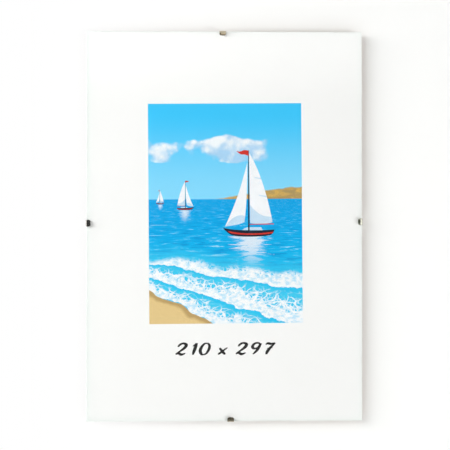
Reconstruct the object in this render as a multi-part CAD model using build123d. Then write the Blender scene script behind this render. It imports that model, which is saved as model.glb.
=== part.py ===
from build123d import *
import os

# Wall-hung clip frame: a glass pane, a printed sheet and a hardboard back, held in a stack by
# four bent spring clips that reach round its edges and hook into slots punched in the board.
# Lengths are in millimetres. +Z is up, the glass faces -Y and +X is to the viewer's right.
# The frame hangs by its top clip, and the origin is the centre of that clip's hanging hole.

# Stack of pane, sheet and board
frame_width = 210.0
frame_height = 297.0
pane_thickness = 2.0
pane_seam = 0.3  # ground chamfer along the pane's edges
pane_corner_radius = 0.6
sheet_thickness = 0.2
sheet_inset = 0.3  # how far inside the pane the sheet is trimmed
board_thickness = 3.0
board_corner_radius = 0.8

# Clip strip and its bends
strip_thickness = 0.5
stack_gap = 0.1  # between the clip and the pane's or board's faces
edge_bend_radius = 0.4  # inside radius of the two bends round the stack's edge
arch_bend_radius = 1.2  # inside radius of the bends of the arch
lip_reach = 3.0  # from the pane's edge over the glass
lip_width = 5.0
lip_corner_radius = 1.3
land_reach = 4.5  # from the board's edge to where the arch begins to rise
rise_run = 6.0
bridge_length = 12.5
fall_run = 4.0
arch_height = 5.0  # clear height between the board and the bridge
knee_height = 0.9  # from the board up to the bend above the tongue
tongue_depth = 2.2
tongue_width = 8.0
tongue_corner_radius = 1.5
arch_width = 12.0
neck_reach = 1.5  # from the board's edge to where the neck begins to widen
neck_flare = 2.0
outline_radius = 1.0  # rounding of the corners of the clip's outline

# Keyhole in the bridge
hole_radius = 3.0
hole_slot_width = 3.0
hole_slot_rise = 4.8  # from the hole's centre to the middle of the slot's round end
hole_edge_land = 1.4  # metal left between the hole and the bridge's inner end

# Clips on the frame, each named from the middle of its side towards +X or +Z
top_clip_shift = -1.4
bottom_clip_shift = 4.6
left_clip_shift = 2.2
right_clip_shift = 3.3
clip_travel = 3.5  # outward travel that takes the lip off the glass
slot_end_clearance = 1.4
slot_side_clearance = 0.3
slot_corner_radius = 0.8

cut_overrun = 1.0

stack_depth = pane_thickness + sheet_thickness + board_thickness
half_strip = strip_thickness / 2
lip_depth = -stack_gap - half_strip
wall_out = stack_gap + half_strip
land_depth = stack_depth + stack_gap + half_strip
bridge_depth = stack_depth + arch_height + half_strip
bridge_outer_end = -land_reach - rise_run
bridge_inner_end = bridge_outer_end - bridge_length
tongue_out = bridge_inner_end - fall_run
hole_out = bridge_inner_end + hole_edge_land + hole_radius
largest_shift = max(
    abs(top_clip_shift), abs(bottom_clip_shift), abs(left_clip_shift), abs(right_clip_shift)
)


def prism(outline, front, back):
    """An outline drawn in the XZ plane, extruded from one depth to another along +Y."""
    solid = extrude(Plane.XZ * outline, amount=back - front, dir=(0, 1, 0))
    return Pos(0, front, 0) * solid


def glass_pane():
    outline = RectangleRounded(frame_width, frame_height, pane_corner_radius)
    pane = prism(outline, 0, pane_thickness)
    sides = pane.faces().sort_by(Axis.Y)
    rims = sides[0].edges() + sides[-1].edges()
    return chamfer(rims, pane_seam)


def print_sheet():
    outline = Rectangle(frame_width - 2 * sheet_inset, frame_height - 2 * sheet_inset)
    return prism(outline, pane_thickness, pane_thickness + sheet_thickness)


def board_slot():
    """The slot for one tongue, in the clip's own place: Z = 0 is the board's edge, +Z is outward."""
    length = tongue_width + 2 * (largest_shift + slot_end_clearance)
    width = strip_thickness + clip_travel + 2 * slot_side_clearance
    middle_out = tongue_out - half_strip - slot_side_clearance + width / 2
    outline = Pos(0, middle_out) * RectangleRounded(length, width, slot_corner_radius)
    return prism(outline, stack_depth - board_thickness - cut_overrun, stack_depth + cut_overrun)


def on_top_side(piece, shift):
    return Pos(shift, 0, frame_height / 2) * piece


def on_bottom_side(piece, shift):
    return Pos(shift, 0, -frame_height / 2) * Rot(0, 180, 0) * piece


def on_left_side(piece, shift):
    return Pos(-frame_width / 2, 0, shift) * Rot(0, -90, 0) * piece


def on_right_side(piece, shift):
    return Pos(frame_width / 2, 0, shift) * Rot(0, 90, 0) * piece


def backing_board():
    outline = RectangleRounded(frame_width, frame_height, board_corner_radius)
    board = prism(outline, stack_depth - board_thickness, stack_depth)
    slot = board_slot()
    for place in (on_top_side, on_bottom_side, on_left_side, on_right_side):
        board = board - place(slot, 0)
    return board


def strip_band():
    """The clip's strip at full width, bent along its side view. Sketch points are depth, outward."""
    edge_bend = edge_bend_radius + half_strip
    arch_bend = arch_bend_radius + half_strip
    with BuildPart() as made:
        with BuildSketch(Plane.YZ):
            with BuildLine():
                path = FilletPolyline(
                    (lip_depth, -lip_reach),
                    (lip_depth, wall_out),
                    (land_depth, wall_out),
                    (land_depth, -land_reach),
                    (bridge_depth, bridge_outer_end),
                    (bridge_depth, bridge_inner_end),
                    (stack_depth + knee_height, tongue_out),
                    (stack_depth - tongue_depth, tongue_out),
                    radius=(edge_bend, edge_bend, arch_bend, arch_bend, arch_bend, arch_bend),
                )
            trace(path, line_width=strip_thickness)
        extrude(amount=arch_width / 2, both=True)
    return made.part


def lip_prism():
    """The lip and wall as seen from the front, down to the middle of the stack."""
    reach = lip_reach + cut_overrun
    outline = Pos(0, cut_overrun) * RectangleRounded(lip_width, 2 * reach, lip_corner_radius)
    return prism(outline, -cut_overrun, stack_depth / 2)


def back_prism():
    """The neck, flare, arch and tongue as seen from the back, from the middle of the stack."""
    right_side = [
        (lip_width / 2, cut_overrun),
        (lip_width / 2, -neck_reach),
        (arch_width / 2, -neck_reach - neck_flare),
        (arch_width / 2, bridge_inner_end),
        (tongue_width / 2, tongue_out + half_strip),
        (tongue_width / 2, tongue_out - cut_overrun),
    ]
    left_side = [(-across, out) for across, out in reversed(right_side)]
    outline = Polygon(*right_side, *left_side, align=None)
    rounded = [corner for corner in outline.vertices() if tongue_out + strip_thickness < corner.Y < 0]
    outline = fillet(rounded, outline_radius)
    return prism(outline, stack_depth / 2, bridge_depth + cut_overrun)


def keyhole():
    """The hanging hole and its slot towards the frame's edge, cut through the bridge."""
    run = Pos(0, hole_slot_rise / 2) * Rectangle(hole_slot_width, hole_slot_rise)
    round_end = Pos(0, hole_slot_rise) * Circle(hole_slot_width / 2)
    outline = Pos(0, hole_out) * (Circle(hole_radius) + run + round_end)
    return prism(outline, bridge_depth - cut_overrun, bridge_depth + cut_overrun)


def spring_clip():
    """One clip in its own place: Z = 0 is the frame's edge, +Z is outward and Y = 0 the glass front."""
    clip = strip_band() & (lip_prism() + back_prism())
    clip = clip - keyhole()
    tongue_edges = clip.edges().filter_by(Axis.Z).group_by(Axis.Z)[0]
    tip_corners = tongue_edges.sort_by(Axis.Y)[:2]
    return fillet(tip_corners, tongue_corner_radius)


def build_parts():
    clip = spring_clip()
    hanging_hole = Vector(top_clip_shift, bridge_depth, frame_height / 2 + hole_out)
    pieces = {
        "glass_pane": glass_pane(),
        "print_sheet": print_sheet(),
        "backing_board": backing_board(),
        "clip_top": on_top_side(clip, top_clip_shift),
        "clip_bottom": on_bottom_side(clip, bottom_clip_shift),
        "clip_left": on_left_side(clip, left_clip_shift),
        "clip_right": on_right_side(clip, right_clip_shift),
    }
    return {name: Pos(-hanging_hole) * piece for name, piece in pieces.items()}


parts = build_parts()
os.makedirs("parts", exist_ok=True)
for name, piece in parts.items():
    export_step(piece, f"parts/{name}.step")
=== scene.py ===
import math
import bmesh
import bpy
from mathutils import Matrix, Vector
from mathutils.geometry import delaunay_2d_cdt


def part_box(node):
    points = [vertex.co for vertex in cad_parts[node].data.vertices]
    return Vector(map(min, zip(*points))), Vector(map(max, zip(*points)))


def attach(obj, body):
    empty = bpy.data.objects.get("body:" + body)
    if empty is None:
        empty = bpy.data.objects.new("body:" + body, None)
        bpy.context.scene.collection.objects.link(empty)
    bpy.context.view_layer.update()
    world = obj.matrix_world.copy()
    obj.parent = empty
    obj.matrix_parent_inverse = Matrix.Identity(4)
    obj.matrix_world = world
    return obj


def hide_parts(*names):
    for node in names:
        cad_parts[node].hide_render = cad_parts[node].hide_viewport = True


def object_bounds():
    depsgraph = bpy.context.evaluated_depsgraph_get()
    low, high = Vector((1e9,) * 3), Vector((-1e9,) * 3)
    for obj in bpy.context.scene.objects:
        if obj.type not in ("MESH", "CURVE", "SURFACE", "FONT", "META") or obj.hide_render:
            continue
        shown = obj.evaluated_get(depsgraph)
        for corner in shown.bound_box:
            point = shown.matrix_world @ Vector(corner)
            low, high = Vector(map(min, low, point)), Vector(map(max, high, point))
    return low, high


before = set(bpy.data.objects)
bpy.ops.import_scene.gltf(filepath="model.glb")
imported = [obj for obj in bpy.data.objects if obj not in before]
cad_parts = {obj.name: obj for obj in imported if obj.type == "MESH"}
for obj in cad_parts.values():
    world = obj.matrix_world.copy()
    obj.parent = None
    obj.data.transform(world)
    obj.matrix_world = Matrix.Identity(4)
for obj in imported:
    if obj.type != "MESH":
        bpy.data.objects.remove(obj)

# Clip frame on a pale wall: the glass and the printed insert are built here, while the
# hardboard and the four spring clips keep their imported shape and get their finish.
# Everything is in metres, and the front faces -Y.

mm = 0.001
white = (1.0, 1.0, 1.0)
cadLow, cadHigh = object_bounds()
paneLow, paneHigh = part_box("glass_pane")
sheetLow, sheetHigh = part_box("print_sheet")
centreX = (paneLow.x + paneHigh.x) / 2
centreZ = (paneLow.z + paneHigh.z) / 2
print("frame loaded, pane", round((paneHigh.x - paneLow.x) / mm), "x", round((paneHigh.z - paneLow.z) / mm))


# Node helpers: each takes the tree first, and most hand back the socket to link on

def feed(tree, source, socket):
    # a source is another node's output or a plain value, and None leaves the socket as it is
    if source is None:
        return
    if isinstance(source, bpy.types.NodeSocket):
        tree.links.new(source, socket)
    elif socket.type == "RGBA":
        socket.default_value = (*source[:3], 1.0)
    else:
        socket.default_value = source


def addNode(tree, kind, sources={}, **settings):
    # the sources go to the inputs of their name or number
    made = tree.nodes.new("ShaderNode" + kind)
    for setting, value in settings.items():
        setattr(made, setting, value)
    for label, source in sources.items():
        feed(tree, source, made.inputs[label])
    return made


def maths(tree, operation, first, second=None, third=None, clamp=False):
    sources = {0: first, 1: second, 2: third}
    return addNode(tree, "Math", sources, operation=operation, use_clamp=clamp).outputs[0]


def plus(tree, first, second):
    return maths(tree, "ADD", first, second)


def minus(tree, first, second):
    return maths(tree, "SUBTRACT", first, second)


def times(tree, first, second):
    return maths(tree, "MULTIPLY", first, second)


def scaled(tree, value, by, added):
    return maths(tree, "MULTIPLY_ADD", value, by, added)


def larger(tree, first, second):
    return maths(tree, "MAXIMUM", first, second)


def fade(tree, value, start, end, low=0.0, high=1.0):
    # goes smoothly from low, where the value is at start, to high at end
    sources = {0: value, 1: start, 2: end, 3: low, 4: high}
    return addNode(tree, "MapRange", sources, interpolation_type="SMOOTHSTEP").outputs[0]


def vectorMaths(tree, operation, first, second, third=None):
    return addNode(tree, "VectorMath", {0: first, 1: second, 2: third}, operation=operation)


def mixColours(tree, share, first, second, mode="MIX"):
    sources = {0: share, 6: first, 7: second}
    return addNode(tree, "Mix", sources, data_type="RGBA", blend_type=mode).outputs[2]


def tinted(tree, first, second):
    return mixColours(tree, 1.0, first, second, "MULTIPLY")


def stretch(tree, place, scale, turn=(0, 0, 0), shift=(0, 0, 0)):
    sources = {"Vector": place, "Scale": scale, "Rotation": turn, "Location": shift}
    return addNode(tree, "Mapping", sources).outputs[0]


def noiseAt(tree, place, scale, detail=3.0, roughness=0.5, distortion=0.0, output="Fac"):
    sources = {"Vector": place, "Scale": scale, "Detail": detail, "Roughness": roughness}
    return addNode(tree, "TexNoise", {**sources, "Distortion": distortion}).outputs[output]


def objectPlace(tree):
    return addNode(tree, "TexCoord").outputs["Object"]


def splitPlace(tree, place):
    return addNode(tree, "SeparateXYZ", {0: place}).outputs[:]


def joinPlace(tree, x, y, z):
    return addNode(tree, "CombineXYZ", {0: x, 1: y, 2: z}).outputs[0]


def swayed(tree, place, scale, reach):
    # the place pushed about by a slow noise, by up to half the reach
    push = noiseAt(tree, place, scale, output="Color")
    return vectorMaths(tree, "MULTIPLY_ADD", push, (reach, reach, reach), place).outputs[0]


def cellsAt(tree, place, scale, feature):
    # distance to the middle or to the edge of scattered cells
    made = addNode(tree, "TexVoronoi", {"Vector": place, "Scale": scale}, feature=feature)
    return made.outputs["Distance"]


def bumpFrom(tree, height, depth, strength=1.0, under=None):
    # depth is the real height in metres between a height of 0 and of 1
    sources = {"Height": height, "Distance": depth, "Strength": strength, "Normal": under}
    return addNode(tree, "Bump", sources).outputs[0]


def newMaterial(name):
    material = bpy.data.materials.new(name)
    material.use_nodes = True
    material.node_tree.nodes.clear()
    return material, material.node_tree


def paintedShader(tree, colour, roughness, normal=None, metallic=0.0, specular=0.5):
    return addNode(tree, "BsdfPrincipled", {
        "Base Color": colour, "Roughness": roughness, "Normal": normal, "Metallic": metallic,
        "Specular IOR Level": specular,
    })


def simpleShader(tree, kind, colour, strength=None):
    # a plain surface, a clear gap, a glow or a background; only the last two have a strength
    made = addNode(tree, kind, {"Color": colour})
    if strength is not None:
        feed(tree, strength, made.inputs["Strength"])
    return made


def mixShaders(tree, share, first, second):
    return addNode(tree, "MixShader", {0: share, 1: first.outputs[0], 2: second.outputs[0]})


def showOn(tree, shader, kind="OutputMaterial"):
    addNode(tree, kind, {"Surface": shader.outputs[0]})


# Objects and their meshes

def addObject(name, data):
    made = bpy.data.objects.new(name, data)
    bpy.context.scene.collection.objects.link(made)
    return made


def meshObject(name, mesh):
    data = bpy.data.meshes.new(name)
    mesh.to_mesh(data)
    mesh.free()
    return addObject(name, data)


# Node groups for the effects that several materials share

def newGroup(name, inputs, outputs):
    group = bpy.data.node_groups.new(name, "ShaderNodeTree")
    for label, kind, value in inputs:
        socket = group.interface.new_socket(label, in_out="INPUT", socket_type="NodeSocket" + kind)
        if value is not None:
            socket.default_value = value
    for label, kind in outputs:
        group.interface.new_socket(label, in_out="OUTPUT", socket_type="NodeSocket" + kind)
    given = group.nodes.new("NodeGroupInput").outputs
    result = group.nodes.new("NodeGroupOutput").inputs
    return group, given, result


def placeGroup(tree, group, **values):
    # a value's key is the input's label without its spaces
    made = addNode(tree, "Group", node_tree=group)
    for socket in made.inputs:
        if socket.name.replace(" ", "") in values:
            feed(tree, values[socket.name.replace(" ", "")], socket)
    return made


def makeEdgeWearGroup():
    # where an outside corner is rubbed bright: the corner's own turn, broken up by a noise
    group, given, result = newGroup(
        "edgeWear",
        [("Place", "Vector", None), ("Reach", "Float", 0.0004),
         ("Breakup Scale", "Float", 900.0), ("Amount", "Float", 1.0)],
        [("Mask", "Float")],
    )
    rounded = addNode(group, "Bevel", {"Radius": given["Reach"]}, samples=6).outputs[0]
    plain = addNode(group, "NewGeometry").outputs["Normal"]
    facing = vectorMaths(group, "DOT_PRODUCT", rounded, plain)
    corner = fade(group, facing.outputs["Value"], 0.995, 0.86)
    breakup = noiseAt(group, given["Place"], given["Breakup Scale"], 4.0, 0.6)
    worn = times(group, corner, fade(group, breakup, 0.36, 0.6))
    feed(group, maths(group, "MULTIPLY", worn, given["Amount"], clamp=True), result["Mask"])
    return group


def makeFineGrainGroup():
    # an even fine tooth and a slow cloudiness, as a shade centred on 1; the tooth is the height too
    group, given, result = newGroup(
        "fineGrain",
        [("Place", "Vector", None), ("Grain Scale", "Float", 3000.0),
         ("Cloud Scale", "Float", 30.0), ("Contrast", "Float", 0.05)],
        [("Shade", "Float"), ("Height", "Float")],
    )
    grain = noiseAt(group, given["Place"], given["Grain Scale"], 3.0, 0.65)
    cloud = noiseAt(group, given["Place"], given["Cloud Scale"], 2.0, 0.5)
    both = plus(group, times(group, grain, 0.6), times(group, cloud, 0.4))
    centred = minus(group, both, 0.5)
    feed(group, scaled(group, centred, given["Contrast"], 1.0), result["Shade"])
    feed(group, grain, result["Height"])
    return group


edgeWear = makeEdgeWearGroup()
fineGrain = makeFineGrainGroup()
print("node groups ready")


# Camera: almost straight on, as far off as the photograph's own framing needs

viewpoint = {
    "lens": 85.0,
    "sensor": 36.0,
    "width": 0.3430,  # what the frame's front plane shows from edge to edge
    "azimuth": -1.4,  # degrees to the left of straight on
    "elevation": -0.5,
    "across": 0.0003,  # aim beside the frame's middle
    "up": 0.0008,
}


def awayFrom(azimuth, elevation):
    # the direction from the frame to what stands at these angles; 0, 0 is straight in front
    around = math.radians(azimuth)
    rise = math.radians(elevation)
    return Vector((math.sin(around) * math.cos(rise), -math.cos(around) * math.cos(rise), math.sin(rise)))


def makeCamera():
    data = bpy.data.cameras.new("camera")
    data.lens = viewpoint["lens"]
    data.sensor_width = viewpoint["sensor"]
    distance = viewpoint["width"] * viewpoint["lens"] / viewpoint["sensor"]
    away = awayFrom(viewpoint["azimuth"], viewpoint["elevation"])
    camera = addObject("camera", data)
    aim = Vector((centreX + viewpoint["across"], paneLow.y, centreZ + viewpoint["up"]))
    camera.location = aim + away * distance
    camera.rotation_euler = away.to_track_quat("Z", "Y").to_euler()
    bpy.context.scene.camera = camera


makeCamera()


# Glass pane: float glass with hand-seamed, finely ground edges

glassPane = {
    "cornerRadius": 0.6 * mm,
    "cornerSteps": 4,
    "seam": 0.3 * mm,
    "seamCrown": 0.09 * mm,  # how far the seam's middle stands in from the square corner
    "clearColour": (0.992, 0.999, 0.995),
    "dustColour": (0.93, 0.94, 0.93),
    "groundColour": (0.80, 0.92, 0.88),
    "groundPale": (0.90, 0.96, 0.94),
    "seamColour": (0.955, 0.965, 0.96),
    "groundRoughness": 0.42,
    "groundClarity": 0.2,  # how much light still passes the ground edge
    "refraction": 1.5,
    "leastRadius": 0.05 * mm,  # a corner keeps this much when it is drawn in
}


def roundedOutline(low, high, radius, steps, inset=0.0):
    # points of a rounded rectangle in X and Z, all drawn in by the inset
    points = []
    corners = [(high.x, high.z, 0), (low.x, high.z, 90), (low.x, low.z, 180), (high.x, low.z, 270)]
    middle = (low + high) / 2
    for x, z, start in corners:
        towardX = math.copysign(1, middle.x - x)
        towardZ = math.copysign(1, middle.z - z)
        reach = max(radius - inset, glassPane["leastRadius"])
        aroundX = x + towardX * (inset + reach)
        aroundZ = z + towardZ * (inset + reach)
        for step in range(steps + 1):
            angle = math.radians(start + 90 * step / steps)
            points.append((aroundX + reach * math.cos(angle), aroundZ + reach * math.sin(angle)))
    return points


def ringsToMesh(name, rings):
    # rings are (outline, y) from front to back; the ends are closed by one face each in the first
    # material, and the bands between the rings are in the second
    mesh = bmesh.new()
    loops = [[mesh.verts.new((x, y, z)) for x, z in outline] for outline, y in rings]
    count = len(loops[0])
    mesh.faces.new(loops[0])
    mesh.faces.new(loops[-1])
    for near, far in zip(loops, loops[1:]):
        for i in range(count):
            face = mesh.faces.new((near[i], near[(i + 1) % count], far[(i + 1) % count], far[i]))
            face.material_index = 1
    bmesh.ops.recalc_face_normals(mesh, faces=mesh.faces)
    return meshObject(name, mesh)


def openToLight(tree, shader, tint):
    # glass that lets lamplight and the sheet's own light through, as real glass does
    path = addNode(tree, "LightPath").outputs
    passing = larger(tree, path["Is Shadow Ray"], path["Is Diffuse Ray"])
    showOn(tree, mixShaders(tree, passing, shader, simpleShader(tree, "BsdfTransparent", tint)))


def glassShader(tree, clarity, *looks):
    shader = paintedShader(tree, *looks)
    shader.inputs["Transmission Weight"].default_value = clarity
    shader.inputs["IOR"].default_value = glassPane["refraction"]
    return shader


def clearGlassMaterial():
    # clear but for sparse dust and faint wiped streaks
    material, tree = newMaterial("clearGlass")
    place = objectPlace(tree)
    gathered = fade(tree, noiseAt(tree, place, 160.0, 2.0), 0.6, 0.68)
    specks = times(tree, fade(tree, cellsAt(tree, place, 700.0, "F1"), 0.16, 0.06), gathered)
    wiped = noiseAt(tree, stretch(tree, place, (1.0, 1.0, 6.0), (0, 0.7, 0)), 14.0, 5.0, 0.6, 0.6)
    roughness = scaled(tree, fade(tree, wiped, 0.45, 0.75), 0.012, times(tree, specks, 0.10))
    tint = mixColours(tree, specks, glassPane["clearColour"], glassPane["dustColour"])
    openToLight(tree, glassShader(tree, 1.0, tint, roughness), white)
    return material


def groundGlassMaterial():
    material, tree = newMaterial("groundGlassEdge")
    place = objectPlace(tree)
    grind = noiseAt(tree, stretch(tree, place, (1.0, 6.0, 1.0)), 1500.0, 4.0, 0.7)
    depth = fade(tree, noiseAt(tree, place, 260.0, 3.0), 0.35, 0.7)
    colour = mixColours(tree, depth, glassPane["groundColour"], glassPane["groundPale"])
    _, facing, _ = splitPlace(tree, addNode(tree, "TexCoord").outputs["Normal"])
    onSeam = fade(tree, maths(tree, "ABSOLUTE", facing), 0.15, 0.45)
    colour = mixColours(tree, onSeam, colour, glassPane["seamColour"])
    roughness = scaled(tree, grind, 0.22, glassPane["groundRoughness"] - 0.11)
    bump = bumpFrom(tree, grind, 0.00002, 0.6)
    shader = glassShader(tree, glassPane["groundClarity"], colour, roughness, bump)
    openToLight(tree, shader, glassPane["groundColour"])
    return material


def makeGlassPane():
    seam = glassPane["seam"]
    crown = glassPane["seamCrown"]
    levels = [
        (seam, paneLow.y), (crown, paneLow.y + crown), (0.0, paneLow.y + seam),
        (0.0, paneHigh.y - seam), (crown, paneHigh.y - crown), (seam, paneHigh.y),
    ]
    rings = [
        (roundedOutline(paneLow, paneHigh, glassPane["cornerRadius"], glassPane["cornerSteps"], inset), y)
        for inset, y in levels
    ]
    pane = ringsToMesh("clear_pane", rings)
    pane.data.materials.append(clearGlassMaterial())
    pane.data.materials.append(groundGlassMaterial())
    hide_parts("glass_pane")
    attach(pane, "frame")


makeGlassPane()
print("glass pane made")


# Printed insert: one sheet whose front is cut along the edges of everything printed on it

insert = {
    "behindGlass": 0.05 * mm,
    "offBoard": 0.03 * mm,
    "trimRadius": 0.25 * mm,
    "trimSteps": 3,
    "pictureWidth": 117.2,  # this and the printed places are in millimetres
    "pictureHeight": 168.0,
    "pictureAcross": 0.7,  # the picture's middle to the right of the sheet's middle
    "pictureUp": 9.7,  # and above it
    "pictureTilt": 0.42,  # degrees that the print is askew, to the left
    "numberUp": -93.6,
    "numberWidth": 75.2,
    "numberHeight": 8.7,
    "numberStretch": 1.22,
    "brushWeight": 1.45,
    "slant": 0.26,
    "rise": 0.006,
    "paperColour": (0.945, 0.945, 0.938),
    "fleckColour": (0.90, 0.895, 0.86),
    "inkColour": (0.022, 0.021, 0.021),
}

# A sailing boat seen from the side, in millimetres from the middle of its waterline
boatShapes = [
    ("hullInk", [(-17, 3.2), (-15.6, 0.2), (-12, -1.2), (-4, -1.8), (7, -1.7), (14, -0.6), (18.2, 2.4),
                 (20, 4.6), (12, 3.3), (2, 2.7), (-8, 2.7)]),
    ("redInk", [(-16.2, 1.6), (-15.6, 0.5), (-6, -0.5), (6, -0.4), (14.4, 0.8), (16.6, 2.3), (6, 0.7),
                (-6, 0.6)]),
    ("sailShade", [(-8.5, 2.7), (-7.4, 4.9), (2.6, 4.8), (6.2, 2.9)]),
    ("hullInk", [(0.9, 2.6), (1.05, 60.4), (1.55, 60.4), (2.0, 2.6)]),
    ("sailInk", [(0.5, 8.0), (0.7, 34), (0.9, 58.6), (-3.2, 51), (-7.6, 40), (-11.6, 27), (-14.6, 14),
                 (-15.6, 8.6), (-11, 7.4), (-5, 7.2)]),
    ("sailShade", [(0.5, 8.0), (0.6, 21), (-3.6, 16.5), (-9, 13.2), (-14.9, 12.4), (-15.6, 8.6),
                   (-11, 7.4), (-5, 7.2)]),
    ("sailShade", [(-11.7, 26.4), (-11.5, 27.4), (-6, 28.2), (-6, 27.7)]),
    ("sailShade", [(-7.8, 39.4), (-7.5, 40.4), (-3, 41.0), (-3, 40.5)]),
    ("redInk", [(-16.6, 6.9), (-16.5, 7.6), (0.9, 7.3), (0.9, 6.7)]),
    ("sailInk", [(18.6, 5.6), (13.5, 17), (8.2, 31), (3.2, 48), (2.3, 51.5), (2.5, 38), (3.2, 22),
                 (4.6, 8.6), (10, 6.8)]),
    ("sailShade", [(18.6, 5.6), (14.8, 10), (11.2, 12.6), (7.6, 13.6), (4.2, 13.2), (4.6, 8.6),
                   (10, 6.8)]),
    ("redInk", [(1.4, 60.2), (4.4, 60.6), (7.2, 59.6), (10.2, 59.9), (7.0, 57.6), (4.2, 57.4), (1.4, 56.4)]),
]

# Boats on the picture: place of the waterline's middle as a share of the picture, size, and way they sail
fleet = [
    {"across": 0.665, "up": 0.405, "size": 1.06, "way": -1},
    {"across": 0.235, "up": 0.520, "size": 0.36, "way": 1},
    {"across": 0.075, "up": 0.545, "size": 0.17, "way": -1},
]

# Strokes of the digits, as points across and up with the brush's width there, in hundredths of
# a digit's height
brushDigits = {
    "2": [[(6, 70, 9), (16, 90, 13), (38, 100, 12), (60, 88, 16), (56, 64, 17), (34, 38, 12), (2, 5, 9)],
          [(2, 5, 9), (22, 13, 12), (44, 2, 15), (70, 14, 6)]],
    "1": [[(16, 74, 5), (30, 86, 10), (40, 100, 12)],
          [(40, 102, 11), (37, 60, 17), (34, 25, 15), (33, -1, 8)]],
    "0": [[(50, 98, 6), (26, 96, 11), (10, 66, 15), (8, 32, 16), (24, 3, 12), (38, 1, 8)],
          [(34, 1, 8), (54, 8, 11), (66, 40, 14), (66, 74, 13), (52, 97, 9), (44, 99, 6)]],
    "9": [[(64, 84, 8), (48, 99, 10), (22, 93, 13), (12, 68, 15), (26, 50, 12), (48, 56, 8), (62, 72, 6)],
          [(68, 96, 9), (60, 66, 16), (50, 32, 15), (30, 0, 7)]],
    "7": [[(10, 84, 7), (24, 95, 14), (46, 90, 13), (76, 98, 8)],
          [(76, 98, 8), (52, 62, 14), (36, 28, 17), (32, -2, 10)],
          [(28, 50, 5), (46, 53, 8), (66, 56, 5)]],
    "x": [[(6, 58, 8), (24, 36, 13), (50, 8, 12), (60, 4, 6)],
          [(62, 60, 6), (40, 38, 11), (16, 10, 13), (4, 2, 7)]],
}

# Width that each sign and space of the printed size takes, in digit heights
printedSize = [("2", 0.98), ("1", 0.74), ("0", 1.00), (" ", 0.42), ("x", 0.96), (" ", 0.42),
               ("2", 1.00), ("9", 0.98), ("7", 0.90)]


def smoothPath(points, steps):
    # a curve through every point, in as many numbers as the points have
    path = []
    last = len(points) - 1
    for i in range(last):
        before, start = points[max(i - 1, 0)], points[i]
        end, after = points[i + 1], points[min(i + 2, last)]
        for step in range(steps):
            t = step / steps
            path.append(tuple(
                s + 0.5 * t * ((e - b) + t * (2 * b - 5 * s + 4 * e - a + t * (3 * s - b - 3 * e + a)))
                for b, s, e, a in zip(before, start, end, after)
            ))
    path.append(tuple(points[-1]))
    return path


def brushStroke(points, steps=5):
    # the outline of a stroke that is as wide as the brush at each point
    path = smoothPath(points, steps)
    left = []
    right = []
    for i, (x, z, width) in enumerate(path):
        ahead = Vector(path[min(i + 1, len(path) - 1)][:2])
        behind = Vector(path[max(i - 1, 0)][:2])
        along = (ahead - behind).normalized()
        aside = Vector((-along.y, along.x)) * width * insert["brushWeight"] / 2
        left.append((x + aside.x, z + aside.y))
        right.append((x - aside.x, z - aside.y))
    return left + right[::-1]


def softened(outline, steps=4, sharpTurn=50):
    # a closed outline curved through its points, but for corners that turn sharply
    count = len(outline)
    sharp = []
    for i in range(count):
        arriving = Vector(outline[i]) - Vector(outline[i - 1])
        leaving = Vector(outline[(i + 1) % count]) - Vector(outline[i])
        if arriving.angle(leaving) > math.radians(sharpTurn):
            sharp.append(i)
    rounded = []
    for start, end in zip(sharp, sharp[1:] + [sharp[0] + count]):
        run = [outline[i % count] for i in range(start, end + 1)]
        rounded.extend(smoothPath(run, steps)[:-1] if len(run) > 2 else run[:-1])
    return rounded


def tilted(outline):
    # turned about the picture's middle, as askew as the print
    turn = math.radians(insert["pictureTilt"])
    middleX = insert["pictureAcross"]
    middleZ = insert["pictureUp"]
    placed = []
    for x, z in outline:
        x -= middleX
        z -= middleZ
        placed.append((middleX + x * math.cos(turn) - z * math.sin(turn),
                       middleZ + x * math.sin(turn) + z * math.cos(turn)))
    return placed


def pictureOutlines():
    wide = insert["pictureWidth"]
    high = insert["pictureHeight"]
    left = insert["pictureAcross"] - wide / 2
    low = insert["pictureUp"] - high / 2
    right = left + wide
    top = low + high
    shapes = [("pictureInk", [(left, low), (right, low), (right, top), (left, top)])]
    for boat in fleet:
        seaX = left + boat["across"] * wide
        seaZ = low + boat["up"] * high
        for ink, outline in boatShapes:
            curved = softened(outline)
            placed = [(seaX + x * boat["size"] * boat["way"], seaZ + z * boat["size"]) for x, z in curved]
            shapes.append((ink, placed))
    return [(ink, tilted(outline)) for ink, outline in shapes]


def numberOutlines():
    height = insert["numberHeight"]
    taken = sum(width for _, width in printedSize) * height
    spread = insert["numberWidth"] / taken
    pen = -insert["numberWidth"] / 2
    shapes = []
    for sign, width in printedSize:
        for stroke in brushDigits.get(sign, []):
            outline = []
            for across, up in brushStroke([[n / 100 for n in point] for point in stroke]):
                x = pen + (across * insert["numberStretch"] + up * insert["slant"]) * height
                z = insert["numberUp"] + (up - 0.5) * height + x * insert["rise"]
                outline.append((x, z))
            shapes.append(("numberInk", outline))
        pen += width * height * spread
    return shapes


def turnedLeft(outline):
    # the cut needs every outline to run anticlockwise
    area = sum(x1 * z2 - x2 * z1 for (x1, z1), (x2, z2) in zip(outline, outline[1:] + outline[:1]))
    return outline if area > 0 else outline[::-1]


def flatRegions(outlines):
    # triangles of the first outline, each with the index of the last outline that it lies in
    points = []
    polygons = []
    for outline in map(turnedLeft, outlines):
        start = len(points)
        points.extend(Vector(point) for point in outline)
        polygons.append(list(range(start, start + len(outline))))
    cut = delaunay_2d_cdt(points, [], polygons, 1, 1e-4)
    return cut[0], [(face, max(inside)) for face, inside in zip(cut[2], cut[5]) if 0 in inside]


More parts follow.
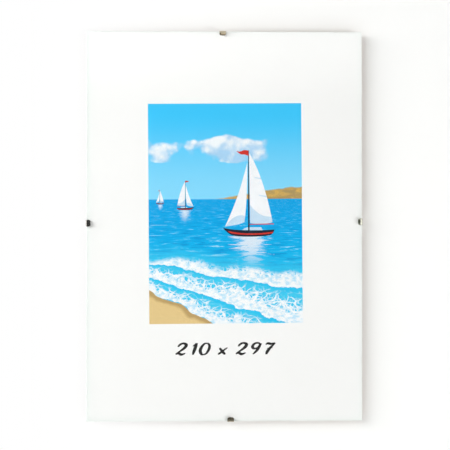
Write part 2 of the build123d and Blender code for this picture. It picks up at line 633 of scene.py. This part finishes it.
def makeInsertSheet(slotNames):
    low = Vector((sheetLow.x, 0, sheetLow.z))
    high = Vector((sheetHigh.x, 0, sheetHigh.z))
    trimmed = roundedOutline(low, high, insert["trimRadius"], insert["trimSteps"])
    paperEdge = [((x - centreX) / mm, (z - centreZ) / mm) for x, z in trimmed]
    printed = [("paper", paperEdge)] + pictureOutlines() + numberOutlines()
    points, faces = flatRegions([outline for _, outline in printed])
    front = sheetLow.y + insert["behindGlass"]
    back = sheetHigh.y - insert["offBoard"]
    mesh = bmesh.new()
    frontVerts = [mesh.verts.new((centreX + p.x * mm, front, centreZ + p.y * mm)) for p in points]
    for face, inside in faces:
        made = mesh.faces.new([frontVerts[i] for i in face])
        made.material_index = slotNames.index(printed[inside][0])
    rim = [edge for edge in mesh.edges if len(edge.link_faces) == 1]
    grown = bmesh.ops.extrude_edge_only(mesh, edges=rim)["geom"]
    backVerts = [item for item in grown if isinstance(item, bmesh.types.BMVert)]
    for vert in backVerts:
        vert.co.y = back
    backRim = [edge for edge in mesh.edges if all(vert in backVerts for vert in edge.verts)]
    bmesh.ops.contextual_create(mesh, geom=backRim)
    bmesh.ops.delete(mesh, geom=[vert for vert in mesh.verts if not vert.link_faces], context="VERTS")
    bmesh.ops.recalc_face_normals(mesh, faces=mesh.faces)
    return meshObject("printed_insert", mesh)


def paperMaterial():
    material, tree = newMaterial("insertPaper")
    place = objectPlace(tree)
    grain = placeGroup(tree, fineGrain, Place=place, GrainScale=2600.0, CloudScale=9.0, Contrast=0.035)
    fibres = noiseAt(tree, stretch(tree, place, (1.0, 1.0, 0.25), (0, 0.5, 0)), 1400.0, 2.0, 0.5)
    fleck = fade(tree, fibres, 0.70, 0.80, 0.0, 0.35)
    toned = tinted(tree, insert["paperColour"], grain.outputs["Shade"])
    colour = mixColours(tree, fleck, toned, insert["fleckColour"])
    roughness = scaled(tree, grain.outputs["Height"], 0.12, 0.46)
    bump = bumpFrom(tree, grain.outputs["Height"], 0.000012, 0.5)
    showOn(tree, paintedShader(tree, colour, roughness, bump, specular=0.15))
    return material


def showInk(tree, place, colour, roughness, cloudScale, contrast):
    # ink takes on the grain of the sheet under it
    grain = placeGroup(
        tree, fineGrain, Place=place, GrainScale=4200.0, CloudScale=cloudScale, Contrast=contrast
    ).outputs
    sheen = scaled(tree, grain["Height"], 0.1, roughness)
    bump = bumpFrom(tree, grain["Height"], 0.000008, 0.4)
    showOn(tree, paintedShader(tree, tinted(tree, colour, grain["Shade"]), sheen, bump, specular=0.1))


def inkMaterial(name, colour, thin):
    # flat printed ink that thins towards another colour where the sheet took less of it
    material, tree = newMaterial(name)
    place = objectPlace(tree)
    starved = fade(tree, noiseAt(tree, place, 520.0, 4.0, 0.6), 0.5, 0.85)
    showInk(tree, place, mixColours(tree, starved, colour, thin), 0.33, 120.0, 0.3)
    return material


seaView = {
    "horizon": 0.565,  # this and the places below are shares of the picture's height or width
    "skyHigh": (0.045, 0.56, 0.96),
    "skyLow": (0.24, 0.70, 0.98),
    "cloudBase": 0.690,
    "cloudTop": 0.930,
    "cloud": (0.95, 0.97, 0.99),
    "cloudShade": (0.42, 0.66, 0.90),
    "ochre": (0.66, 0.42, 0.11),
    "ochreShade": (0.42, 0.30, 0.12),
    "farSea": (0.002, 0.40, 0.83),
    "nearSea": (0.004, 0.52, 0.88),
    "trough": (0.001, 0.26, 0.66),
    "glint": (0.45, 0.80, 0.97),
    "shallows": (0.06, 0.62, 0.90),
    "waterline": 0.150,  # where the water meets the sand at the left edge
    "waterlineFall": 0.34,  # and how much lower it is at the right edge
    "surfLine": 0.315,  # where the swell breaks at the left edge
    "surfLineFall": 0.07,
    "crests": 2.6,  # lines of broken water between the two
    "foam": (0.94, 0.965, 0.99),
    "foamShade": (0.52, 0.79, 0.96),
    "drySand": (0.80, 0.60, 0.28),
    "wetSand": (0.52, 0.35, 0.14),
}


def cloudSwell(tree, place):
    # high where a cloud stands: a slow swell with round billows of three sizes on it
    swell = noiseAt(tree, stretch(tree, place, (2.3, 1.0, 3.4), shift=(4.2, 0.0, 0.9)), 1.0, 1.0, 0.5)
    for scale, share in ((6.0, 0.20), (14.0, 0.10), (34.0, 0.05)):
        billow = minus(tree, 0.5, cellsAt(tree, place, scale, "SMOOTH_F1"))
        swell = scaled(tree, billow, share, swell)
    return swell


def paintSky(tree, v, flat):
    sky = mixColours(tree, fade(tree, v, 0.98, seaView["horizon"]), seaView["skyHigh"], seaView["skyLow"])
    above = fade(tree, v, seaView["cloudBase"], seaView["cloudBase"] + 0.05)
    below = fade(tree, v, seaView["cloudTop"], seaView["cloudTop"] - 0.12)
    swell = cloudSwell(tree, flat)
    room = scaled(tree, times(tree, above, below), 0.5, swell)
    cover = fade(tree, room, 0.98, 1.05)
    sunward = cloudSwell(tree, stretch(tree, flat, (1.0, 1.0, 1.0), shift=(-0.018, 0.0, 0.030)))
    lit = scaled(tree, minus(tree, swell, sunward), 7.0, 0.45)
    cloud = mixColours(tree, fade(tree, lit, 0.15, 0.75), seaView["cloudShade"], seaView["cloud"])
    return mixColours(tree, times(tree, cover, 0.93), sky, cloud)


def paintHeadland(tree, picture, u, v, flat):
    # low, and climbing to the right
    horizon = seaView["horizon"]
    knolls = noiseAt(tree, joinPlace(tree, times(tree, u, 5.5), 0.0, 0.3), 1.0, 4.0, 0.5)
    climb = fade(tree, u, 0.42, 0.98, 0.0, 0.055)
    crest = plus(tree, scaled(tree, knolls, 0.05, horizon - 0.022), climb)
    start = fade(tree, u, 0.40, 0.50)
    land = times(tree, fade(tree, minus(tree, crest, v), -0.003, 0.006), start)
    slopes = noiseAt(tree, stretch(tree, flat, (9.0, 1.0, 24.0)), 1.0, 5.0, 0.6, 0.8)
    landColour = mixColours(tree, fade(tree, slopes, 0.38, 0.62), seaView["ochreShade"], seaView["ochre"])
    return mixColours(tree, land, picture, landColour)


def paintSea(tree, picture, u, v):
    # ripples close up towards the horizon, and break up the reflections of the sails
    horizon = seaView["horizon"]
    nearness = maths(tree, "DIVIDE", minus(tree, horizon, v), horizon)
    depth = maths(tree, "DIVIDE", 1.0, plus(tree, larger(tree, nearness, 0.0), 0.09))
    fromMiddle = minus(tree, u, 0.5)
    sideways = times(tree, fromMiddle, times(tree, depth, 3.6))
    rippled = joinPlace(tree, sideways, 0.0, times(tree, depth, 17.0))
    ripples = noiseAt(tree, rippled, 1.0, 6.0, 0.62, 0.7)
    sea = mixColours(tree, fade(tree, nearness, 0.0, 0.75), seaView["farSea"], seaView["nearSea"])
    sea = mixColours(tree, fade(tree, ripples, 0.54, 0.34, 0.0, 0.8), sea, seaView["trough"])
    sea = mixColours(tree, fade(tree, ripples, 0.57, 0.70, 0.0, 0.8), sea, seaView["glint"])
    for boat in fleet:
        reach = 0.10 * boat["size"]
        below = minus(tree, boat["up"], v)
        beside = maths(tree, "ABSOLUTE", minus(tree, u, boat["across"]))
        narrowed = scaled(tree, below, 0.30, beside)
        broken = scaled(tree, minus(tree, ripples, 0.5), 0.5 * boat["size"], narrowed)
        column = times(tree, fade(tree, broken, reach, reach * 0.5), fade(tree, below, 0.0, 0.008))
        column = times(tree, column, fade(tree, below, reach * 2.0, reach * 0.3))
        sea = mixColours(tree, times(tree, column, 0.75), sea, seaView["foam"])
    onSea = fade(tree, v, horizon + 0.0015, horizon - 0.0015)
    return mixColours(tree, onSea, picture, sea)


def paintSurf(tree, picture, u, v, flat):
    # lines of broken water, each with a net of foam trailing off seaward, running up a sandy corner
    wander = minus(tree, noiseAt(tree, flat, 3.2, 3.0), 0.5)
    offSand = plus(tree, scaled(tree, u, seaView["waterlineFall"], v), -seaView["waterline"])
    offSand = scaled(tree, wander, 0.14, offSand)
    inShore = minus(tree, seaView["surfLine"], scaled(tree, u, seaView["surfLineFall"], v))
    inShore = scaled(tree, wander, 0.16, inShore)
    zone = larger(tree, plus(tree, offSand, inShore), 0.02)
    ragged = minus(tree, noiseAt(tree, flat, 11.0, 5.0, 0.6), 0.5)
    surf = scaled(tree, ragged, 0.20, maths(tree, "DIVIDE", offSand, zone))
    behindCrest = maths(tree, "FRACT", times(tree, surf, seaView["crests"]))

    bent = swayed(tree, flat, 9.0, 0.10)
    nets = []
    for tall, scale, thread in ((1.6, 15.0, 0.16), (1.5, 36.0, 0.20)):
        cells = cellsAt(tree, stretch(tree, bent, (1.0, 1.0, tall)), scale, "DISTANCE_TO_EDGE")
        nets.append(fade(tree, cells, thread, 0.02))
    net = larger(tree, nets[0], times(tree, nets[1], 0.75))
    thick = scaled(tree, behindCrest, -1.15, 1.15)
    foam = fade(tree, scaled(tree, net, 0.55, thick), 0.62, 0.98)
    seaward = fade(tree, inShore, -0.004, 0.035)
    foam = times(tree, foam, seaward)

    shallow = fade(tree, inShore, -0.09, 0.06)
    picture = mixColours(tree, times(tree, shallow, 0.85), picture, seaView["shallows"])
    face = times(tree, fade(tree, behindCrest, 0.80, 0.99), seaward)
    picture = mixColours(tree, times(tree, face, 0.6), picture, seaView["nearSea"])
    lumps = noiseAt(tree, stretch(tree, flat, (1.0, 1.0, 1.5)), 26.0, 5.0, 0.6)
    foamTone = mixColours(tree, fade(tree, lumps, 0.36, 0.56), seaView["foamShade"], seaView["foam"])
    picture = mixColours(tree, foam, picture, foamTone)

    grains = noiseAt(tree, flat, 90.0, 4.0, 0.6)
    dry = mixColours(tree, fade(tree, grains, 0.35, 0.65, 0.0, 0.22), seaView["drySand"], seaView["wetSand"])
    sandTone = mixColours(tree, fade(tree, offSand, -0.035, -0.012), dry, seaView["wetSand"])
    return mixColours(tree, fade(tree, offSand, 0.001, -0.002), picture, sandTone)


def pictureMaterial():
    # a plain seascape: clouds, a low headland on the right, open water and surf over sand
    material, tree = newMaterial("seascapePrint")
    place = objectPlace(tree)
    middle = (centreX + insert["pictureAcross"] * mm, 0, centreZ + insert["pictureUp"] * mm)
    turn = {"Vector": place, "Center": middle, "Angle": math.radians(insert["pictureTilt"])}
    level = addNode(tree, "VectorRotate", turn, rotation_type="Y_AXIS").outputs[0]
    x, _, z = splitPlace(tree, level)
    left = middle[0] - insert["pictureWidth"] / 2 * mm
    low = middle[2] - insert["pictureHeight"] / 2 * mm
    u = maths(tree, "DIVIDE", minus(tree, x, left), insert["pictureWidth"] * mm)
    v = maths(tree, "DIVIDE", minus(tree, z, low), insert["pictureHeight"] * mm)
    tall = insert["pictureHeight"] / insert["pictureWidth"]
    flat = joinPlace(tree, u, 0.0, times(tree, v, tall))
    picture = paintSky(tree, v, flat)
    picture = paintHeadland(tree, picture, u, v, flat)
    picture = paintSea(tree, picture, u, v)
    picture = paintSurf(tree, picture, u, v, flat)
    showInk(tree, place, picture, 0.30, 60.0, 0.10)
    return material


def makeInsert():
    finishes = {
        "paper": paperMaterial(),
        "pictureInk": pictureMaterial(),
        "numberInk": inkMaterial("numberInk", insert["inkColour"], (0.07, 0.068, 0.066)),
        "hullInk": inkMaterial("hullInk", (0.012, 0.016, 0.030), (0.03, 0.05, 0.09)),
        "redInk": inkMaterial("redInk", (0.62, 0.035, 0.025), (0.75, 0.12, 0.08)),
        "sailInk": inkMaterial("sailInk", (0.92, 0.94, 0.97), (0.80, 0.88, 0.96)),
        "sailShade": inkMaterial("sailShade", (0.56, 0.74, 0.90), (0.68, 0.82, 0.94)),
    }
    slotNames = list(finishes)
    sheet = makeInsertSheet(slotNames)
    for finish in finishes.values():
        sheet.data.materials.append(finish)
    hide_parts("print_sheet")
    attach(sheet, "frame")
    print("printed insert made,", len(sheet.data.polygons), "faces")


makeInsert()


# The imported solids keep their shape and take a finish

def dressed(node, material):
    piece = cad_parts[node]
    piece.data.materials.clear()
    piece.data.materials.append(material)
    return piece


# Hardboard back: a smooth front, a screen-marked rough back and sawn edges

hardboard = {
    "faceColour": (0.250, 0.135, 0.062),
    # the dark colour serves the dark hairs and the painted shade in the screen's hollows
    "darkFibre": (0.120, 0.060, 0.028),
    "paleFibre": (0.400, 0.250, 0.130),
    "edgeColour": (0.330, 0.200, 0.105),
    "screenPitch": 1.7 * mm,
    "screenDepth": 0.10 * mm,
}


def hardboardMaterial():
    material, tree = newMaterial("hardboard")
    place = objectPlace(tree)
    x, _, z = splitPlace(tree, place)
    _, facing, _ = splitPlace(tree, addNode(tree, "TexCoord").outputs["Normal"])
    onBack = fade(tree, facing, 0.5, 0.9)
    onEdge = fade(tree, maths(tree, "ABSOLUTE", facing), 0.6, 0.3)

    # wire screen marks pressed into the back
    turns = 2 * math.pi / hardboard["screenPitch"]
    wander = times(tree, noiseAt(tree, place, 60.0, 2.0), 2.4)
    waveX = maths(tree, "SINE", scaled(tree, x, turns, wander))
    waveZ = maths(tree, "SINE", scaled(tree, z, turns, wander))
    screen = scaled(tree, times(tree, waveX, waveZ), 0.5, 0.5)
    pressed = times(tree, times(tree, screen, onBack), 0.6)

    # fibres: long pale and dark hairs over a cloudy brown
    grain = placeGroup(tree, fineGrain, Place=place, GrainScale=1300.0, CloudScale=75.0, Contrast=1.25)
    hairs = noiseAt(tree, stretch(tree, place, (1.0, 1.0, 0.18), (0, 0.9, 0)), 620.0, 4.0, 0.65, 1.5)
    crossed = noiseAt(tree, stretch(tree, place, (0.2, 1.0, 1.0), (0, 0.5, 0)), 560.0, 4.0, 0.65, 1.5)
    colour = mixColours(tree, fade(tree, hairs, 0.52, 0.70), hardboard["faceColour"], hardboard["paleFibre"])
    colour = mixColours(tree, fade(tree, crossed, 0.54, 0.72), colour, hardboard["darkFibre"])
    colour = mixColours(tree, times(tree, onEdge, 0.8), colour, hardboard["edgeColour"])
    # painted shade: darker in the sunk hollows of the screen marks
    paintedScreenShade = times(tree, fade(tree, screen, 0.42, 0.12), times(tree, onBack, 0.55))
    colour = mixColours(tree, paintedScreenShade, colour, hardboard["darkFibre"])
    colour = tinted(tree, colour, grain.outputs["Shade"])
    worn = placeGroup(tree, edgeWear, Place=place, Reach=0.0006, BreakupScale=500.0, Amount=0.7)
    colour = mixColours(tree, worn.outputs["Mask"], colour, hardboard["paleFibre"])

    saw = noiseAt(tree, stretch(tree, place, (5.0, 0.6, 5.0)), 420.0, 4.0, 0.7)
    fuzz = times(tree, saw, times(tree, onEdge, 0.8))
    height = plus(tree, pressed, scaled(tree, grain.outputs["Height"], 0.35, fuzz))
    roughness = scaled(tree, onEdge, 0.12, scaled(tree, onBack, 0.10, 0.66))
    bump = bumpFrom(tree, height, hardboard["screenDepth"], 0.9)
    showOn(tree, paintedShader(tree, colour, roughness, bump))
    return material


def finishBoard():
    board = dressed("backing_board", hardboardMaterial())


finishBoard()
print("hardboard finished")


# Spring clips: bent strip of nickel-plated spring steel, each with its own tarnish and rubbed edges, and a
# painted reflection on its lip and in its steel tone

usualClip = {"lean": 0.0, "roll": 0.0, "sideRim": 0.9 * mm, "heelStart": -1.25 * mm}

# outward is the axis, 0 for X and 2 for Z, and the way along it that the clip pulls; each clip's steel tone
# and its lip's rim, middle and heel colours are painted reflections, darker or brighter by what that lip
# mirrors, and lean, sideRim, tipRim and heelStart place them
springClips = {
    "clip_top": {
        **usualClip, "finish": "topClipSteel", "outward": (2, 1), "steel": (0.66, 0.59, 0.47),
        "tarnish": 0.35, "rim": (0.20, 0.165, 0.115), "middle": (0.84, 0.72, 0.51),
        "heel": (0.72, 0.66, 0.51), "tipRim": 1.5 * mm, "lean": 0.7 * mm,
    },
    "clip_bottom": {
        **usualClip, "finish": "bottomClipSteel", "outward": (2, -1), "steel": (0.60, 0.54, 0.44),
        "tarnish": 0.50, "rim": (0.080, 0.063, 0.045), "middle": (0.25, 0.232, 0.175),
        "heel": (0.31, 0.29, 0.215), "tipRim": 1.3 * mm,
    },
    "clip_left": {
        **usualClip, "finish": "leftClipSteel", "outward": (0, -1), "steel": (0.46, 0.445, 0.42),
        "tarnish": 0.55, "rim": (0.045, 0.045, 0.042), "middle": (0.12, 0.12, 0.115),
        "heel": (0.06, 0.06, 0.057), "tipRim": 0.9 * mm, "lean": 0.2 * mm,
    },
    "clip_right": {
        **usualClip, "finish": "rightClipSteel", "outward": (0, 1), "steel": (0.72, 0.70, 0.60),
        "tarnish": 0.20, "rim": (0.90, 0.93, 0.83), "middle": (0.20, 0.22, 0.165),
        "heel": (0.88, 0.90, 0.78), "roll": 0.24, "sideRim": 1.5 * mm, "tipRim": 0.15 * mm,
        "heelStart": -1.6 * mm,
    },
}

clipLip = {
    "halfWidth": 2.5 * mm,
    "tip": -3.0 * mm,  # outward of the pane's edge
    "raggedness": 0.6 * mm,  # how far the edge between the lip's painted reflection tones strays
    "heelFade": 0.55 * mm,
    "bendStart": -0.35 * mm,
    "bendEnd": 0.05 * mm,
    "faceAhead": 0.45 * mm,  # in front of the glass
}


def makePaintedLipReflectionGroup():
    # painted reflection on the lip over the glass: its colour along the tip and sides, in its middle, and by
    # the bend, standing in for what the lip mirrors
    group, given, result = newGroup(
        "paintedLipReflection",
        [("Outward", "Float", 0.0), ("Aside", "Float", 0.0),
         ("Ahead", "Float", 0.0), ("Breakup", "Float", 0.5),
         ("Steel", "Color", (0.6, 0.55, 0.45, 1)), ("Rim", "Color", (0.2, 0.2, 0.2, 1)),
         ("Middle", "Color", (0.4, 0.4, 0.4, 1)), ("Heel", "Color", (0.5, 0.5, 0.5, 1)),
         ("Side Rim", "Float", 0.0009), ("Tip Rim", "Float", 0.0009),
         ("Heel Start", "Float", -0.00125), ("Roll", "Float", 0.0)],
        [("Color", "Color"), ("Share", "Float"), ("Height", "Float")],
    )
    ragged = clipLip["raggedness"]
    drift = scaled(group, given["Breakup"], ragged, -ragged / 2)
    aside = plus(group, given["Aside"], drift)
    inward = plus(group, given["Outward"], drift)
    insideSides = minus(group, clipLip["halfWidth"], given["Side Rim"])
    between = fade(group, aside, clipLip["halfWidth"], insideSides)
    pastTip = plus(group, given["Tip Rim"], clipLip["tip"])
    fromTip = fade(group, inward, clipLip["tip"], pastTip)
    inside = times(group, between, fromTip)
    reflectionTone = mixColours(group, inside, given["Rim"], given["Middle"])
    heelStart = given["Heel Start"]
    heel = fade(group, given["Outward"], heelStart, plus(group, heelStart, clipLip["heelFade"]))
    reflectionTone = mixColours(group, heel, reflectionTone, given["Heel"])
    unbent = fade(group, given["Outward"], clipLip["bendEnd"], clipLip["bendStart"])
    onFace = times(group, unbent, fade(group, given["Ahead"], 0.0, clipLip["faceAhead"]))
    feed(group, mixColours(group, onFace, given["Steel"], reflectionTone), result["Color"])
    feed(group, onFace, result["Share"])
    # a lip that starts to roll towards its bend early, as a height in metres; Roll is its slope
    # a millimetre on
    rolled = larger(group, minus(group, given["Outward"], heelStart), 0.0)
    fall = times(group, given["Roll"], -0.5 / mm)
    feed(group, times(group, times(group, rolled, rolled), fall), result["Height"])
    return group


def makeSpringSteelGroup():
    # rolled grain along the strip, cloudy tarnish and pits, with bright rubbed edges
    group, given, result = newGroup(
        "springSteel",
        [("Place", "Vector", None), ("Across", "Vector", None),
         ("Steel", "Color", (0.6, 0.55, 0.45, 1)), ("Tarnish", "Float", 0.4),
         ("Worn", "Float", 0.0)],
        [("Color", "Color"), ("Roughness", "Float"), ("Height", "Float")],
    )
    rolled = noiseAt(group, given["Across"], 1.0, 4.0, 0.65)
    clouds = noiseAt(group, given["Place"], 230.0, 5.0, 0.6, 0.4)
    pits = noiseAt(group, given["Place"], 2400.0, 2.0, 0.5)
    stained = times(group, fade(group, clouds, 0.42, 0.68), given["Tarnish"])
    pitted = times(group, fade(group, pits, 0.66, 0.78), 0.5)
    dull = larger(group, stained, pitted)
    lined = scaled(group, rolled, 0.24, 0.88)
    stain = tinted(group, given["Steel"], (0.44, 0.40, 0.34))
    base = mixColours(group, dull, given["Steel"], stain)
    brushed = tinted(group, base, lined)
    bright = mixColours(group, given["Worn"], brushed, (0.84, 0.81, 0.74))
    feed(group, bright, result["Color"])
    rough = scaled(group, dull, 0.22, scaled(group, rolled, 0.16, 0.16))
    rubbed = times(group, given["Worn"], -0.08)
    feed(group, plus(group, rough, rubbed), result["Roughness"])
    feed(group, minus(group, rolled, times(group, pitted, 0.8)), result["Height"])
    return group


paintedLipReflection = makePaintedLipReflectionGroup()
springSteel = makeSpringSteelGroup()


def clipMaterial(node, look):
    material, tree = newMaterial(look["finish"])
    place = objectPlace(tree)
    axis, way = look["outward"]
    low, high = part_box(node)
    middle = (low + high) / 2
    spots = splitPlace(tree, place)
    edge = paneHigh[axis] if way > 0 else paneLow[axis]
    side = 2 - axis
    # the lip's painted reflection, in this clip's own tones, becomes the steel's colour
    lip = placeGroup(
        tree, paintedLipReflection, Breakup=noiseAt(tree, place, 900.0, 3.0, 0.6),
        Outward=times(tree, minus(tree, spots[axis], edge), way),
        Aside=maths(tree, "ABSOLUTE", minus(tree, spots[side], middle[side] + look["lean"])),
        Ahead=minus(tree, paneLow.y, spots[1]),
        Steel=look["steel"], Rim=look["rim"], Middle=look["middle"], Heel=look["heel"], Roll=look["roll"],
        SideRim=look["sideRim"], TipRim=look["tipRim"], HeelStart=look["heelStart"],
    )
    # the grain is drawn out along the strip
    grainScale = (260.0, 260.0, 7000.0) if axis == 0 else (7000.0, 260.0, 260.0)
    rubbed = scaled(tree, lip.outputs["Share"], -0.6, 0.9)
    worn = placeGroup(tree, edgeWear, Place=place, Reach=0.00016, BreakupScale=1300.0, Amount=rubbed)
    steel = placeGroup(
        tree, springSteel, Place=place, Across=stretch(tree, place, grainScale), Steel=lip.outputs["Color"],
        Tarnish=look["tarnish"], Worn=worn.outputs["Mask"],
    ).outputs
    bump = bumpFrom(tree, steel["Height"], 0.000006, 0.7, bumpFrom(tree, lip.outputs["Height"], 1.0))
    showOn(tree, paintedShader(tree, steel["Color"], steel["Roughness"], bump, 1.0))
    return material


def finishClips():
    for node, look in springClips.items():
        clip = dressed(node, clipMaterial(node, look))


finishClips()
print("spring clips finished")


# Studio: a pale wall that curves into the floor, soft lamps in front and behind, an even world

studio = {
    "wallGap": 0.05 * mm,  # between the clips' bridges and the wall
    "wallTop": 1.8,
    "floor": -0.95,
    "coveRadius": 0.35,
    "coveSteps": 16,
    "halfWidth": 2.4,
    "floorDepth": 3.2,
    "wallColour": (0.885, 0.889, 0.882),
    "wallLift": 0.12,  # how much of its white the wall shows by itself
    "plainFrom": 0.32,  # beyond this distance from the frame the wall goes over to plain white
    "plainAt": 0.52,
    "litFrom": 0.05,  # from here across to litAt it goes over to plain white on the lit side too, a painted light that covers the frame's shadow there
    "litAt": -0.15,
    "mirrored": 0.4,  # how far metal and glass show it plain as well
    "worldLevel": 0.26,
    "brightEnd": (0.95, 0.945, 0.93),
    "darkEnd": (0.05, 0.048, 0.045),  # the unlit end of the room, behind the camera
    "darkAhead": (-0.76, -0.93),  # it darkens between these values of a direction's Y
    "darkBelow": (0.18, 0.11),  # and these of its Z
}

lamps = [
    {"name": "keyLamp", "azimuth": -54, "elevation": 15, "distance": 1.2, "size": (1.5, 0.42),
     "power": 13.8, "colour": (1.0, 0.996, 0.988)},
    {"name": "fillLamp", "azimuth": 40, "elevation": -15, "distance": 1.7, "size": (0.9, 0.3),
     "power": 9.0, "colour": (1.0, 0.996, 0.985)},
    {"name": "rearLampLeft", "azimuth": -138, "elevation": 25, "distance": 1.8, "size": (1.1, 1.1),
     "power": 20.0, "colour": (1.0, 0.99, 0.975)},
    {"name": "rearLampRight", "azimuth": 140, "elevation": 12, "distance": 1.8, "size": (1.1, 1.1),
     "power": 14.0, "colour": (0.98, 0.99, 1.0)},
]


def makeWall():
    front = cadHigh.y + studio["wallGap"]
    floor = studio["floor"]
    radius = studio["coveRadius"]
    profile = [(front, studio["wallTop"])]
    for step in range(studio["coveSteps"] + 1):
        angle = math.radians(90 * step / studio["coveSteps"])
        profile.append((front - radius * (1 - math.cos(angle)), floor + radius * (1 - math.sin(angle))))
    profile.append((front - studio["floorDepth"], floor))
    mesh = bmesh.new()
    left, right = (
        [mesh.verts.new((centreX + way * studio["halfWidth"], y, z)) for y, z in profile] for way in (-1, 1)
    )
    for i in range(len(profile) - 1):
        face = mesh.faces.new((left[i], left[i + 1], right[i + 1], right[i]))
        face.smooth = True
    wall = meshObject("wall_and_floor", mesh)
    wall.data.materials.append(wallMaterial())


def wallMaterial():
    # painted near the frame and plain white further off; on the lit side plain white as painted light over
    # the frame's shadow; open from behind and to lamps, so that the frame's back can be seen and lit
    material, tree = newMaterial("paleWall")
    place = objectPlace(tree)
    grain = placeGroup(tree, fineGrain, Place=place, GrainScale=900.0, CloudScale=3.0, Contrast=0.02)
    paint = simpleShader(tree, "BsdfDiffuse", tinted(tree, studio["wallColour"], grain.outputs["Shade"]))
    path = addNode(tree, "LightPath").outputs
    seen = larger(tree, path["Is Camera Ray"], path["Is Transmission Ray"])
    seen = larger(tree, seen, times(tree, path["Is Glossy Ray"], studio["mirrored"]))
    glow = simpleShader(tree, "Emission", studio["wallColour"], times(tree, seen, studio["wallLift"]))
    lit = addNode(tree, "AddShader", {0: paint.outputs[0], 1: glow.outputs[0]})
    away = vectorMaths(tree, "DISTANCE", place, (centreX, cadHigh.y, centreZ)).outputs["Value"]
    farOff = fade(tree, away, studio["plainFrom"], studio["plainAt"])
    across, _, _ = splitPlace(tree, place)
    # painted light: plain white across the lit side hides the frame's shadow there
    paintedLitSide = fade(tree, across, centreX + studio["litFrom"], centreX + studio["litAt"])
    bare = times(tree, larger(tree, farOff, paintedLitSide), seen)
    backdrop = mixShaders(tree, bare, lit, simpleShader(tree, "Emission", white))
    behind = addNode(tree, "NewGeometry").outputs["Backfacing"]
    openTo = larger(tree, behind, path["Is Shadow Ray"])
    showOn(tree, mixShaders(tree, openTo, backdrop, simpleShader(tree, "BsdfTransparent", white)))
    return material


def makeLamp(look):
    data = bpy.data.lights.new(look["name"], "AREA")
    data.shape = "RECTANGLE"
    data.size, data.size_y = look["size"]
    data.energy = look["power"]
    data.color = look["colour"]
    lamp = addObject(look["name"], data)
    away = awayFrom(look["azimuth"], look["elevation"])
    lamp.location = Vector((centreX, 0, centreZ)) + away * look["distance"]
    lamp.rotation_euler = away.to_track_quat("Z", "Y").to_euler()


def makeWorld():
    # white to the camera and evenly pale as light; what metal and glass show of it is the room,
    # which darkens towards its unlit end
    world = bpy.data.worlds.new("studioWorld")
    bpy.context.scene.world = world
    world.use_nodes = True
    tree = world.node_tree
    tree.nodes.clear()
    _, y, z = splitPlace(tree, addNode(tree, "TexCoord").outputs["Generated"])
    dark = times(tree, fade(tree, y, *studio["darkAhead"]), fade(tree, z, *studio["darkBelow"]))
    room = simpleShader(tree, "Background", mixColours(tree, dark, studio["brightEnd"], studio["darkEnd"]))
    ambient = simpleShader(tree, "Background", white, studio["worldLevel"])
    path = addNode(tree, "LightPath").outputs
    mirroring = larger(tree, path["Is Glossy Ray"], path["Is Transmission Ray"])
    around = mixShaders(tree, mirroring, ambient, room)
    seen = mixShaders(tree, path["Is Camera Ray"], around, simpleShader(tree, "Background", white))
    showOn(tree, seen, "OutputWorld")


makeWall()
makeWorld()
for lamp in lamps:
    makeLamp(lamp)
bpy.context.scene.view_settings.view_transform = "Standard"
print("studio ready")
